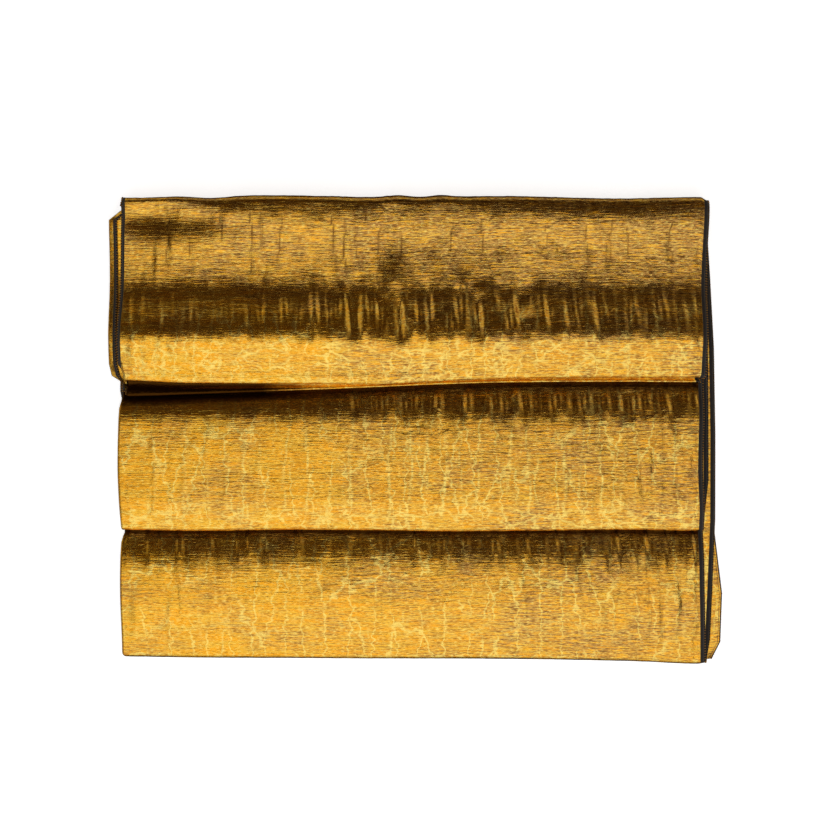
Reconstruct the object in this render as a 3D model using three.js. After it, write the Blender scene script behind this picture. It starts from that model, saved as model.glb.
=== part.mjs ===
// A length of metallic gold upholstery cloth, folded back and forth into three bands that
// overlap like steps. It is one woven piece with a selvedge at either end, so it is one solid.
// Millimetres, +X along the folds, +Y to the back, +Z up. The origin is under the middle of
// the folded piece, on the surface that it lies on.

import * as THREE from "three";

// Driving dimensions
const CLOTH_WIDTH = 1120; // from selvedge to selvedge
const THICKNESS = 1.5;
const PITCH = 3.4; // from one layer to the next where the stack is pressed flat
const STATIONS = 12; // sections across the width
const FREE_END_FRONT = -450; // where the lowest layer stops
const FLAP_FOOT = 9; // height of the free end that hangs down behind
const FLAP_TURN = 15; // size of the turn over the back edge
const FLAP_LEAN = 2; // how far the flap leans in at its foot

// Heights of the cloth, a row for each layer from the floor up. Above says how far, beyond the
// pitch, the layer stands off the one beneath, and aside how far it lies off the middle, at a
// few distances from front to back.
const LAYERS = {
  ground: {
    above: [],
    aside: [[-460, 16], [-430, 24], [-290, 25], [-230, 14], [-100, 4], [400, -6]],
  },
  bottomUnder: {
    above: [[300, 0], [400, 5.3]],
    aside: [[-450, 0], [-400, 9], [-160, 13], [180, 8], [400, -6]],
  },
  bottomTop: {
    above: [[-450, 13], [-346, 23], [-275, 18], [-214, 6], [-150, 1], [160, 6], [280, 1]],
    aside: [[-450, -11], [-300, -14], [400, -7]],
  },
  middleUnder: {
    above: [[240, 0], [395, 5.5]],
    aside: [[-205, -14], [-140, -3], [400, -7]],
  },
  middleTop: {
    above: [[-206, 12], [-96, 30], [0, 26], [56, 9], [110, 4], [170, 8], [260, 3]],
    aside: [[-205, -15], [-90, -19], [50, -16], [400, -13]],
  },
  topUnder: {
    above: [[70, 0], [155, 9], [255, 3], [340, 4], [400, 6.5]],
    aside: [[50, -9], [80, -31], [110, -36], [300, -35], [400, -30]],
  },
  topTop: {
    above: [[80, 26], [155, 31], [258, 12], [345, 15], [420, 12]],
    aside: [[50, -9], [90, -15], [250, -13], [430, -9]],
  },
};
const FLOOR_UP = Object.keys(LAYERS);

// Where the folds come to rest, a row for each place across the width: the upper and lower
// edge of the top band's front fold, the middle and bottom front folds, the back edge, and
// how full the bands stand.
const PLACES = [
  { x: -560, topFront: 76, lip: 46, middleFront: -211, bottomFront: -456, back: 427, full: 1 },
  { x: -420, topFront: 71, lip: 50, middleFront: -213, bottomFront: -458, back: 430, full: 1.05 },
  { x: -230, topFront: 70, lip: 57, middleFront: -211, bottomFront: -459, back: 429, full: 0.97 },
  { x: -60, topFront: 69, lip: 64, middleFront: -212, bottomFront: -460, back: 426, full: 0.9 },
  { x: 60, topFront: 75, lip: 69, middleFront: -214, bottomFront: -460, back: 427, full: 0.98 },
  { x: 210, topFront: 80, lip: 73, middleFront: -213, bottomFront: -461, back: 429, full: 1.04 },
  { x: 420, topFront: 82, lip: 74, middleFront: -211, bottomFront: -465, back: 430, full: 0.96 },
  { x: 560, topFront: 82, lip: 73, middleFront: -213, bottomFront: -471, back: 428, full: 1 },
];

// Back folds, hidden behind the flap, at their furthest reach
const BACK_FOLDS = { top: 407, middle: 400, bottom: 410 };

// Behind these distances a band's top layer is out of sight, under the band above
const OUT_OF_SIGHT = { middleTop: 120, bottomTop: -140 };

// How finely each run of cloth is followed
const STEPS = { flap: 3, turn: 5, fold: 7, backFold: 5, hidden: 9, tucked: 3, seen: 15 };

// The top band's front fold starts this far behind its upper edge, and has come to the
// layer beneath this far behind its lip
const SHELF = { root: 14, foot: 9 };

const ease = (s) => s * s * (3 - 2 * s);

// Value at a place in a list of [place, value] pairs, with soft passages between them.
function along(pairs, at) {
  if (!pairs.length) return 0;
  if (at <= pairs[0][0]) return pairs[0][1];
  for (let i = 1; i < pairs.length; i++) {
    const [a, low] = pairs[i - 1];
    const [b, high] = pairs[i];
    if (at <= b) return low + (high - low) * ease((at - a) / (b - a));
  }
  return pairs[pairs.length - 1][1];
}

function placeAt(x) {
  const place = { x };
  for (const key of Object.keys(PLACES[0])) {
    if (key !== "x") place[key] = along(PLACES.map((row) => [row.x, row[key]]), x);
  }
  return place;
}

// Height of a layer's middle: each one stands on the layer beneath.
function heightOf(layer, y, place) {
  let z = THICKNESS / 2;
  for (const name of FLOOR_UP.slice(1, FLOOR_UP.indexOf(layer) + 1)) {
    z += PITCH + place.full * along(LAYERS[name].above, y);
  }
  return z;
}

function pointOn(layer, y, place) {
  return { y, z: heightOf(layer, y, place), aside: along(LAYERS[layer].aside, y) };
}

// Points on one layer from y0 up to but not including y1.
function run(layer, y0, y1, steps, place) {
  const points = [];
  for (let i = 0; i < steps; i++) {
    points.push(pointOn(layer, y0 + ((y1 - y0) * i) / steps, place));
  }
  return points;
}

// Where a layer meets the round of its fold, for a fold that reaches as far as tip.
function foldRoot(upper, lower, tip, toFront, place) {
  const way = toFront ? 1 : -1;
  let root = tip;
  for (let pass = 0; pass < 3; pass++) {
    const tall = heightOf(upper, root, place) - heightOf(lower, root, place);
    root = tip + (way * tall) / 2;
  }
  return root;
}

// The round of a fold, from one layer to the other.
function fold(from, to, root, tip, steps, place) {
  const a = pointOn(from, root, place);
  const b = pointOn(to, root, place);
  const points = [];
  for (let i = 0; i < steps; i++) {
    const turn = (Math.PI * i) / steps;
    const share = (1 - Math.cos(turn)) / 2;
    points.push({
      y: root + (tip - root) * Math.sin(turn),
      z: a.z + (b.z - a.z) * share,
      aside: a.aside + (b.aside - a.aside) * share,
    });
  }
  return points;
}

// The top band's front: a soft upper edge, a shelf, and a lip that lies further forward. Up
// is the share of the fold's height.
function lippedFold(place) {
  const { topFront, lip } = place;
  const start = pointOn("topTop", topFront + SHELF.root, place);
  const end = pointOn("topUnder", lip + SHELF.foot, place);
  const jut = topFront - lip;
  const shelf = [
    { y: topFront + SHELF.root, up: 1 },
    { y: topFront + 4, up: 0.93 },
    { y: topFront, up: 0.78 },
    { y: topFront - 0.1 * jut, up: 0.6 },
    { y: topFront - 0.5 * jut, up: 0.47 },
    { y: lip + 0.1 * jut, up: 0.36 },
    { y: lip, up: 0.21 },
    { y: lip + 3, up: 0.07 },
  ];
  return shelf.map(({ y, up }) => ({
    y,
    z: end.z + (start.z - end.z) * up,
    aside: end.aside + (start.aside - end.aside) * up,
  }));
}

// The free end behind: up from its foot, then round the back edge on to the top layer.
function flap(place) {
  const root = place.back - FLAP_TURN;
  const top = pointOn("topTop", root, place);
  const shoulder = top.z - FLAP_TURN;
  const points = [];
  for (let i = 0; i < STEPS.flap; i++) {
    const share = i / STEPS.flap;
    points.push({
      y: place.back - FLAP_LEAN * (1 - share),
      z: FLAP_FOOT + (shoulder - FLAP_FOOT) * share,
      aside: top.aside,
    });
  }
  for (let i = 0; i < STEPS.turn; i++) {
    const turn = ((Math.PI / 2) * i) / STEPS.turn;
    points.push({
      y: root + FLAP_TURN * Math.cos(turn),
      z: shoulder + FLAP_TURN * Math.sin(turn),
      aside: top.aside,
    });
  }
  return points;
}

// The whole cloth in section at one place across its width, from the end behind to the end
// under the front.
function sectionAt(x) {
  const place = placeAt(x);
  const { hidden, tucked, seen, backFold } = STEPS;
  const topBack = foldRoot("topUnder", "middleTop", BACK_FOLDS.top, false, place);
  const middleBack = foldRoot("middleUnder", "bottomTop", BACK_FOLDS.middle, false, place);
  const bottomBack = foldRoot("bottomUnder", "ground", BACK_FOLDS.bottom, false, place);
  const middle = foldRoot("middleTop", "middleUnder", place.middleFront, true, place);
  const bottom = foldRoot("bottomTop", "bottomUnder", place.bottomFront, true, place);
  const underTop = OUT_OF_SIGHT.middleTop;
  const underMiddle = OUT_OF_SIGHT.bottomTop;
  const points = [
    ...flap(place),
    ...run("topTop", place.back - FLAP_TURN, place.topFront + SHELF.root, seen, place),
    ...lippedFold(place),
    ...run("topUnder", place.lip + SHELF.foot, topBack, hidden, place),
    ...fold("topUnder", "middleTop", topBack, BACK_FOLDS.top, backFold, place),
    ...run("middleTop", topBack, underTop, tucked, place),
    ...run("middleTop", underTop, middle, seen, place),
    ...fold("middleTop", "middleUnder", middle, place.middleFront, STEPS.fold, place),
    ...run("middleUnder", middle, middleBack, hidden, place),
    ...fold("middleUnder", "bottomTop", middleBack, BACK_FOLDS.middle, backFold, place),
    ...run("bottomTop", middleBack, underMiddle, hidden, place),
    ...run("bottomTop", underMiddle, bottom, seen, place),
    ...fold("bottomTop", "bottomUnder", bottom, place.bottomFront, STEPS.fold, place),
    ...run("bottomUnder", bottom, bottomBack, hidden, place),
    ...fold("bottomUnder", "ground", bottomBack, BACK_FOLDS.bottom, backFold, place),
    ...run("ground", bottomBack, FREE_END_FRONT, hidden, place),
    pointOn("ground", FREE_END_FRONT, place),
  ];
  return points.map((point) => ({ ...point, x: x + point.aside }));
}

// Two skins, half the thickness to either side of the section's line.
function skinsOf(section) {
  return section.map((point, i) => {
    const before = section[Math.max(i - 1, 0)];
    const after = section[Math.min(i + 1, section.length - 1)];
    const dy = after.y - before.y;
    const dz = after.z - before.z;
    const half = THICKNESS / 2 / Math.hypot(dy, dz);
    return {
      outer: [point.x, point.y + dz * half, point.z - dy * half],
      inner: [point.x, point.y - dz * half, point.z + dy * half],
    };
  });
}

// One closed body: both skins, the two selvedges and the two cut ends.
function clothGeometry(sections) {
  const across = sections.length;
  const length = sections[0].length;
  const position = [];
  for (const skin of ["outer", "inner"]) {
    for (const section of sections) {
      for (const point of section) position.push(...point[skin]);
    }
  }
  const outer = (i, j) => j * length + i;
  const inner = (i, j) => (across + j) * length + i;
  const index = [];
  const quad = (a, b, c, d) => index.push(a, b, c, a, c, d);
  for (let j = 0; j < across - 1; j++) {
    for (let i = 0; i < length - 1; i++) {
      quad(outer(i, j), outer(i + 1, j), outer(i + 1, j + 1), outer(i, j + 1));
      quad(inner(i, j), inner(i, j + 1), inner(i + 1, j + 1), inner(i + 1, j));
    }
    quad(outer(0, j), outer(0, j + 1), inner(0, j + 1), inner(0, j));
    const last = length - 1;
    quad(outer(last, j), inner(last, j), inner(last, j + 1), outer(last, j + 1));
  }
  const right = across - 1;
  for (let i = 0; i < length - 1; i++) {
    quad(outer(i, 0), inner(i, 0), inner(i + 1, 0), outer(i + 1, 0));
    quad(outer(i, right), outer(i + 1, right), inner(i + 1, right), inner(i, right));
  }
  const geometry = new THREE.BufferGeometry();
  geometry.setAttribute("position", new THREE.Float32BufferAttribute(position, 3));
  geometry.setIndex(index);
  return geometry;
}

// The folded cloth, moved so that the origin is under its middle.
function foldedCloth() {
  const sections = [];
  for (let j = 0; j < STATIONS; j++) {
    sections.push(skinsOf(sectionAt(CLOTH_WIDTH * (j / (STATIONS - 1) - 0.5))));
  }
  const geometry = clothGeometry(sections);
  geometry.computeBoundingBox();
  const middle = geometry.boundingBox.getCenter(new THREE.Vector3());
  geometry.translate(-middle.x, -middle.y, -geometry.boundingBox.min.z);
  geometry.computeVertexNormals();
  const gold = new THREE.MeshStandardMaterial({
    color: 0xd9a53a,
    roughness: 0.4,
    metalness: 0.8,
  });
  const mesh = new THREE.Mesh(geometry, gold);
  mesh.name = "folded_cloth";
  return mesh;
}

const model = new THREE.Group();
model.add(foldedCloth());

export default model;
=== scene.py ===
"""A length of metallic gold upholstery cloth, folded back and forth into three stepped bands.

Metres, +X along the folds, +Y to the back, +Z up. The cloth is one thin closed sheet on the
folds of its solid, with the creases and puckers of its bands, and black cords and gold weft
turns along its selvedges.
"""

import math

import bpy
import numpy as np
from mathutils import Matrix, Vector


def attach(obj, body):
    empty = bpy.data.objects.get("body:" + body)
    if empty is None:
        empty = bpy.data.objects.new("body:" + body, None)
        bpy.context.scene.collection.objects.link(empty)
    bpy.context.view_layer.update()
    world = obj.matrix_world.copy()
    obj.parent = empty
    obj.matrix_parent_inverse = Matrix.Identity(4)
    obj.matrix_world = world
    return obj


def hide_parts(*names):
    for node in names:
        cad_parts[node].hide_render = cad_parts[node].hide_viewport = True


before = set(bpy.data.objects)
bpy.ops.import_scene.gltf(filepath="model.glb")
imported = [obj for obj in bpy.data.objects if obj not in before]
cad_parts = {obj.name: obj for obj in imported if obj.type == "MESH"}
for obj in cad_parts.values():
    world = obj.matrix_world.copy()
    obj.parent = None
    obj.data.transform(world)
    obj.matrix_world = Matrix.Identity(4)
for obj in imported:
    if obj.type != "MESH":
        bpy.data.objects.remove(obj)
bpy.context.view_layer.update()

# Driving dimensions of the cloth. Its flap is the free end that hangs down behind
CLOTH_WIDTH = 1.12
THICKNESS = 0.0012
PITCH = 0.0034  # from one layer to the next where the stack is pressed flat
FREE_END_BACK = 0.005  # from the front of the bottom band to the cloth's end beneath it
FLAP_FOOT = 0.009  # height of the flap's lower edge
FLAP_TURN = 0.015  # radius of its turn over the back
FLAP_LEAN = 0.002  # how far its lower edge lies in front of the back
MIDDLE = (-0.0057, -0.0205)  # middle of the folded piece, from the point below the camera

# Selvedges: black margins at both ends of the weft
SELVEDGES = {"left": 0.0062, "right": 0.0090}
GROUND_SELVEDGE = 0.0016  # what shows of the right one where it lies on the floor
SELVEDGE_BLUR = 0.0004  # half of the width over which the gold turns black
PALE_THREAD = 0.0026  # from the edge to a pale thread in each selvedge
CORD_RADIUS = 0.0008
CORD_SIDES = 6.0
CORD_COLUMNS = (0, 3)  # the columns of the sheet that carry a cord, counted from its edge
WEFT_TURN_PITCH = 0.005
WEFT_TURN_RADIUS = 0.0012
WEFT_TURN_SIDES = 8
WEFT_RADIUS = 0.0005
WEFT_SIDES = 4

# Columns across the sheet: narrow ones at either edge, and wide ones between
EDGE_COLUMNS = 14
EDGE_STEP = 0.0015
WIDE_COLUMNS = 264
COARSE_EVERY = 4  # out of sight, one wide column in so many is kept

# The layers from the floor up: how far, beyond the pitch, each stands off the one beneath,
# and how far it lies off the middle, at a few distances from front to back
LAYERS = {
    "ground": {
        "above": [(-0.46, 0.0), (0.4, 0.0)],
        "aside": [(-0.466, 0.0), (-0.461, 0.009), (-0.448, 0.017), (-0.428, 0.022),
                  (-0.35, 0.0252), (-0.285, 0.0245), (-0.25, 0.0185), (-0.22, 0.01),
                  (-0.1, 0.004), (0.4, -0.006)],
    },
    "bottom_under": {
        "above": [(0.3, 0.0), (0.4, 0.0053)],
        "aside": [(-0.466, -0.005), (-0.42, 0.002), (-0.38, 0.0045), (-0.26, 0.007),
                  (-0.16, 0.0125), (0.18, 0.008), (0.4, -0.006)],
    },
    "bottom_top": {
        "above": [(-0.45, 0.015), (-0.346, 0.0222), (-0.3, 0.0212), (-0.286, 0.0205),
                  (-0.266, 0.018), (-0.205, 0.002), (-0.15, 0.001), (0.16, 0.006),
                  (0.28, 0.001)],
        "aside": [(-0.45, -0.011), (-0.3, -0.014), (0.4, -0.007)],
    },
    "middle_under": {
        "above": [(0.24, 0.0), (0.395, 0.0055)],
        "aside": [(-0.205, -0.014), (-0.14, -0.003), (0.4, -0.007)],
    },
    "middle_top": {
        "above": [(-0.206, 0.013), (-0.18, 0.0226), (-0.156, 0.0264), (-0.05, 0.0268),
                  (0.001, 0.0256), (0.022, 0.021), (0.056, 0.0085), (0.11, 0.004),
                  (0.17, 0.008), (0.26, 0.003)],
        "aside": [(-0.205, -0.015), (-0.09, -0.019), (0.05, -0.016), (0.4, -0.013)],
    },
    "top_under": {
        "above": [(0.07, 0.0), (0.155, 0.007), (0.255, 0.003), (0.34, 0.004), (0.4, 0.0065)],
        "aside": [(0.05, -0.009), (0.08, -0.029), (0.11, -0.036), (0.3, -0.035),
                  (0.385, -0.0345), (0.397, -0.029), (0.405, -0.02), (0.411, -0.013)],
    },
    "top_top": {
        "above": [(0.08, 0.0238), (0.15, 0.0294), (0.17, 0.0273), (0.249, 0.0124),
                  (0.268, 0.0114), (0.345, 0.0132), (0.402, 0.0144), (0.42, 0.0134)],
        "aside": [(0.05, -0.009), (0.09, -0.015), (0.25, -0.013), (0.43, -0.009)],
    },
}
FLOOR_UP = list(LAYERS)

# Where the folds come to rest at each place across the width, and how full the bands stand
PLACE_COLUMNS = ("x", "top_front", "lip", "middle_front", "bottom_front", "back", "full")
PLACES = [
    (-0.56, 0.076, 0.046, -0.211, -0.456, 0.427, 1.0),
    (-0.42, 0.071, 0.05, -0.213, -0.458, 0.43, 1.05),
    (-0.23, 0.07, 0.057, -0.211, -0.459, 0.429, 0.97),
    (-0.06, 0.069, 0.064, -0.212, -0.46, 0.426, 0.9),
    (0.06, 0.075, 0.069, -0.214, -0.46, 0.427, 0.98),
    (0.21, 0.08, 0.073, -0.213, -0.461, 0.429, 1.04),
    (0.42, 0.082, 0.074, -0.211, -0.465, 0.43, 0.96),
    (0.545, 0.082, 0.073, -0.213, -0.47, 0.4285, 1.0),
    (0.56, 0.08, 0.073, -0.212, -0.468, 0.421, 1.0),
]
BACK_FOLDS = {"top": 0.418, "middle": 0.4, "bottom": 0.410}
OUT_OF_SIGHT = {"middle_top": 0.12, "bottom_top": -0.140}  # behind here a band is covered

# The shelf along the top band's front: how far behind its edge and its lip it starts and
# ends, and the share of its height below which it gets painted shade
SHELF = {"root": 0.014, "foot": 0.009, "shaded_below": 0.6}

# How loose the cloth lies, from 0 where it is pressed flat to 1 where it is free
LOOSE = {"top_ends": 0.4, "band_ends": 0.15, "folds": 0.4, "shelf": 0.5, "flap": 0.3,
         "flap_turn": 0.4}
SELVEDGE_CALM = (0.006, 0.030)  # from the selvedge: pressed flat up to here, free from here

# Left margins that are turned toward the inner side of the cloth. Outward is how far the
# turned edge lies beyond the flat one.
MARGIN_COLUMNS = ("layer", "from_y", "to_y", "ease", "wide", "degrees", "radius", "outward")
LEFT_MARGINS = [
    ("top_top", 0.02, 0.1, 0.015, 0.009, 80.0, 0.003, -0.004),
    ("top_under", 0.074, 0.402, 0.009, 0.0175, 172.0, 0.0014, 0.017),
    ("middle_top", -0.26, 0.052, 0.03, 0.009, 100.0, 0.0026, 0.006),
    ("middle_under", -0.26, -0.16, 0.03, 0.009, 100.0, 0.0026, 0.006),
    ("bottom_top", -0.52, -0.205, 0.03, 0.009, 100.0, 0.0026, 0.009),
    ("bottom_under", -0.52, -0.4, 0.03, 0.009, 100.0, 0.0026, 0.009),
]
MARGIN_REACH = 0.0095  # a margin stays turned this far beyond its outward part
MARGIN_STRETCH = 0.06  # from the edge to the cloth that its outward part no longer draws along

# Hollows and swells in the top band, as seen from above: the middle, how far it reaches to
# either side, and its rise
HOLLOW_COLUMNS = ("x", "y", "reach_x", "reach_y", "rise")
HOLLOW_FADE = 1.4  # a quarter of the rise is left at the reach
HOLLOWS = [
    (-0.512, 0.388, 0.08, 0.038, -0.0145),
    (-0.418, 0.381, 0.045, 0.028, -0.007),
    (-0.352, 0.372, 0.036, 0.018, -0.0025),
    (-0.2, 0.399, 0.02, 0.02, -0.0018),
    (-0.057, 0.372, 0.019, 0.045, -0.002),
    (0.019, 0.35, 0.013, 0.022, -0.0012),
    (-0.05, 0.262, 0.024, 0.045, 0.0085),
    (-0.04, 0.176, 0.022, 0.045, -0.007),
    (-0.125, 0.185, 0.016, 0.04, -0.004),
    (0.105, 0.175, 0.02, 0.06, -0.0055),
    (0.2, 0.23, 0.03, 0.045, -0.0045),
    (0.075, 0.27, 0.19, 0.07, 0.0042),
    (-0.209, 0.2, 0.016, 0.024, 0.0042),
    (-0.025, 0.202, 0.02, 0.02, 0.004),
    (0.051, 0.21, 0.012, 0.02, 0.004),
    (0.08, 0.266, 0.022, 0.016, 0.0026),
    (0.118, 0.247, 0.018, 0.018, 0.0038),
    (0.199, 0.19, 0.026, 0.017, 0.0034),
    (0.285, 0.17, 0.022, 0.018, 0.0034),
    (0.246, 0.236, 0.016, 0.018, 0.0032),
    (0.152, 0.332, 0.016, 0.016, -0.002),
    (0.233, 0.334, 0.012, 0.016, -0.002),
    (0.285, 0.332, 0.014, 0.015, -0.0018),
    (0.327, 0.33, 0.012, 0.016, -0.002),
    (0.02, 0.333, 0.016, 0.018, -0.002),
    (-0.4, 0.436, 0.06, 0.034, -0.006),
    (-0.045, 0.432, 0.034, 0.03, 0.004),
    (0.04, 0.432, 0.026, 0.028, 0.0034),
    (0.38, 0.437, 0.19, 0.039, -0.007),
]

# Creases in each band, as seen from above: where each starts behind and ends in front, how
# far it leans to the right on the way, its rise, and the light or shade painted along it:
# painted shade below 0, painted highlight above
CREASE_COLUMNS = ("x", "back_y", "front_y", "lean", "rise", "painted_light_and_shade")
TOP_CREASES = [
    (-0.543, 0.285, 0.18, 0.0, -0.0006, -0.5),
    (-0.53, 0.3, 0.2, 0.004, -0.0006, -0.5),
    (-0.482, 0.4, 0.29, 0.004, -0.0009, -0.8),
    (-0.44, 0.39, 0.27, 0.004, -0.0009, -0.8),
    (-0.378, 0.405, 0.33, 0.0, -0.001, -0.9),
    (-0.324, 0.41, 0.27, 0.002, -0.0012, -1.0),
    (-0.302, 0.41, 0.32, -0.004, -0.0012, -1.0),
    (-0.268, 0.405, 0.29, 0.0, -0.001, -0.8),
    (-0.165, 0.4, 0.275, 0.0, -0.0013, -1.0),
    (-0.142, 0.4, 0.275, 0.002, -0.0013, -1.0),
    (-0.123, 0.37, 0.3, 0.004, -0.001, -0.9),
    (-0.099, 0.405, 0.365, 0.0, -0.001, -0.9),
    (-0.075, 0.38, 0.275, -0.002, -0.0013, -1.0),
    (-0.04, 0.375, 0.3, 0.004, -0.0012, -1.0),
    (0.063, 0.395, 0.3, 0.002, -0.001, -0.8),
    (0.12, 0.4, 0.31, 0.0, -0.001, -0.8),
    (0.239, 0.39, 0.29, 0.004, -0.0009, -0.7),
    (0.317, 0.385, 0.28, 0.0, -0.001, -0.8),
    (0.363, 0.395, 0.29, 0.002, -0.001, -0.9),
    (0.397, 0.38, 0.3, -0.002, -0.001, -0.8),
    (0.481, 0.39, 0.29, 0.002, -0.0012, -1.0),
    (-0.3, 0.3, 0.17, 0.01, -0.001, 0.0),
    (-0.255, 0.3, 0.165, 0.01, -0.001, 0.0),
    (-0.171, 0.29, 0.15, 0.024, -0.0015, 0.0),
    (-0.141, 0.29, 0.15, 0.024, -0.0016, 0.0),
    (-0.111, 0.29, 0.15, 0.024, -0.0016, 0.0),
    (-0.082, 0.29, 0.15, 0.022, -0.0016, 0.0),
    (0.022, 0.28, 0.15, 0.018, -0.0013, 0.0),
    (0.098, 0.27, 0.16, 0.022, 0.002, 0.7),
    (0.16, 0.28, 0.15, 0.02, -0.0012, 0.0),
    (0.25, 0.28, 0.16, 0.01, -0.0012, 0.0),
    (0.4, 0.28, 0.16, 0.006, -0.0012, 0.0),
]
MIDDLE_CREASES = [
    (-0.507, -0.01, -0.19, 0.004, 0.0008, 0.5),
    (-0.449, 0.0, -0.19, 0.004, 0.0008, 0.6),
    (-0.405, 0.0, -0.195, -0.004, 0.0008, 0.5),
    (-0.371, -0.02, -0.19, 0.004, 0.0007, 0.4),
    (-0.334, 0.0, -0.2, 0.0, 0.0008, 0.6),
    (-0.309, -0.03, -0.19, 0.004, 0.0008, 0.5),
    (-0.257, 0.0, -0.195, -0.004, 0.0009, 0.7),
    (-0.215, 0.0, -0.19, -0.006, 0.0009, 0.8),
    (-0.132, 0.02, -0.18, -0.008, 0.0009, 0.8),
    (-0.058, 0.0, -0.19, -0.008, 0.001, 0.9),
    (-0.019, 0.01, -0.195, -0.002, 0.001, 0.8),
    (0.013, -0.01, -0.15, 0.0, 0.001, 0.8),
    (0.048, -0.01, -0.2, -0.002, 0.001, 0.9),
    (0.079, 0.0, -0.18, 0.0, 0.0008, 0.6),
    (0.113, -0.01, -0.19, -0.004, 0.0009, 0.7),
    (0.171, -0.01, -0.15, 0.002, 0.001, 0.9),
    (0.207, 0.0, -0.19, 0.0, 0.0009, 0.8),
    (0.275, -0.02, -0.2, 0.0, 0.0009, 0.8),
    (0.309, 0.0, -0.18, 0.0, 0.0008, 0.6),
    (0.344, 0.0, -0.19, 0.004, 0.0009, 0.6),
    (0.388, 0.0, -0.19, 0.0, 0.0009, 0.6),
    (0.422, 0.0, -0.195, 0.002, -0.0009, -0.5),
    (0.447, 0.0, -0.195, 0.0, -0.0009, -0.5),
    (0.47, 0.0, -0.195, 0.002, -0.0009, -0.4),
    (0.492, 0.0, -0.195, 0.0, -0.0009, -0.5),
]
BOTTOM_CREASES = [
    (-0.47, -0.25, -0.33, 0.002, -0.0009, -0.5),
    (-0.18, -0.255, -0.33, -0.002, -0.0009, -0.4),
    (-0.075, -0.26, -0.4, 0.004, -0.0009, -0.4),
    (0.06, -0.26, -0.36, 0.0, -0.0009, -0.4),
    (0.2, -0.255, -0.34, 0.003, -0.0009, -0.4),
    (0.33, -0.26, -0.38, 0.0, -0.0009, -0.4),
    (0.44, -0.26, -0.44, 0.003, -0.001, -0.5),
    (0.47, -0.26, -0.44, -0.002, -0.001, -0.5),
    (0.5, -0.26, -0.44, 0.002, -0.001, -0.5),
]
CREASES = {"top_top": TOP_CREASES, "middle_top": MIDDLE_CREASES, "bottom_top": BOTTOM_CREASES}
CREASE_HALF_WIDTH = 0.005
CREASE_EASE = 0.02  # length over which a crease fades in and out
CREASE_STEP = 0.0041  # how far a crease jumps aside on its way
CREASE_SWAY = {"size": 0.7, "down": 34.0, "across": 90.0}  # in steps, and radians a metre

# How far the slopes of each band wander to front and back, at a few places across, which
# makes teeth along their edges
TEETH = {
    "top_top": [(-0.56, 0.01), (-0.3, 0.016), (-0.16, 0.028), (0.0, 0.028), (0.15, 0.026),
                (0.3, 0.02), (0.56, 0.016)],
    "middle_top": [(-0.56, 0.002), (-0.2, 0.004), (-0.08, 0.014), (0.56, 0.018)],
    "bottom_top": [(-0.56, 0.014), (-0.2, 0.014), (0.1, 0.014), (0.56, 0.022)],
}
TOOTH_WIDTHS = (0.019, 0.029, 0.047, 0.083)
TOOTH_LEAN = {"size": 0.12, "turn": 2.1}  # to the right, other for each width
TOOTH_SHIFT = {"each": 1.7, "down": 9.0}  # in radians for each width, and for each metre
TOOTH_MIDDLE = 0.6  # taken off each tooth, so that teeth stray about as far either way
TEETH_STOP = {"top_top": 0.120, "middle_top": -0.080, "bottom_top": -0.340}
TEETH_EASE = 0.04

# How fast teeth and creases come to their full depth as the cloth gets looser
TEETH_BY_LOOSE = 1.6
CREASES_BY_LOOSE = 2.5

# Painted shade in each crevice under the band above: the fold that lies over it, and how far
# the shade reaches in front of it. The shelf gets it too where its lip juts out far enough
CREVICE_COLUMNS = ("layer", "fold", "deep")
CREVICES = [
    ("middle_top", "lip", 0.026),
    ("bottom_top", "middle_front", 0.020),
]
CREVICE_EDGE = 0.003
SHADED_JUT = (0.009, 0.018)
DEEPEST_PAINTED_SHADE = 2

# Rows along each run of the cloth
STEPS = {"flap": 3, "turn": 6, "fold": 9, "back_fold": 6, "hidden": 8, "tucked": 4,
         "top_under": 16, "top": 42, "middle": 30, "bottom": 29}
# Share of a band's rows, from its back, against share of the way: close where it dips
TOP_ROWS = [(0.0, 0.0), (0.38, 0.44), (0.82, 0.82), (1.0, 1.0)]
EVEN_ROWS = [(0.0, 0.0), (1.0, 1.0)]


def monotone_slopes(places, values):
    """Slopes at the places of a curve that rises and falls only where the values do."""
    step = np.diff(places)
    rise = np.diff(values) / step
    slopes = np.zeros(len(places))
    for i in range(1, len(places) - 1):
        if rise[i - 1] * rise[i] > 0:
            first = 2 * step[i] + step[i - 1]
            second = step[i] + 2 * step[i - 1]
            slopes[i] = (first + second) / (first / rise[i - 1] + second / rise[i])
    return slopes


def along(pairs, at):
    """Value at a place on the soft curve through (place, value) pairs."""
    places, values = (np.array(v, dtype=float) for v in zip(*pairs))
    slopes = monotone_slopes(places, values)
    at = np.clip(np.asarray(at, dtype=float), places[0], places[-1])
    k = np.clip(np.searchsorted(places, at, side="right") - 1, 0, len(places) - 2)
    wide = places[k + 1] - places[k]
    s = (at - places[k]) / wide
    return (
        values[k] * (1 + 2 * s) * (1 - s) ** 2
        + slopes[k] * wide * s * (1 - s) ** 2
        + values[k + 1] * s * s * (3 - 2 * s)
        + slopes[k + 1] * wide * s * s * (s - 1)
    )


def places_across(x):
    """The table of places, worked out for every column of the sheet."""
    table = {"x": x}
    for k, name in enumerate(PLACE_COLUMNS[1:], start=1):
        table[name] = along([(row[0], row[k]) for row in PLACES], x)
    return table


def height_of(layer, y, place):
    """Height of a layer's middle: each layer stands on the one beneath."""
    z = np.full(np.shape(y), THICKNESS / 2)
    for name in FLOOR_UP[1:FLOOR_UP.index(layer) + 1]:
        z = z + PITCH + place["full"] * along(LAYERS[name]["above"], y)
    return z


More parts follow.
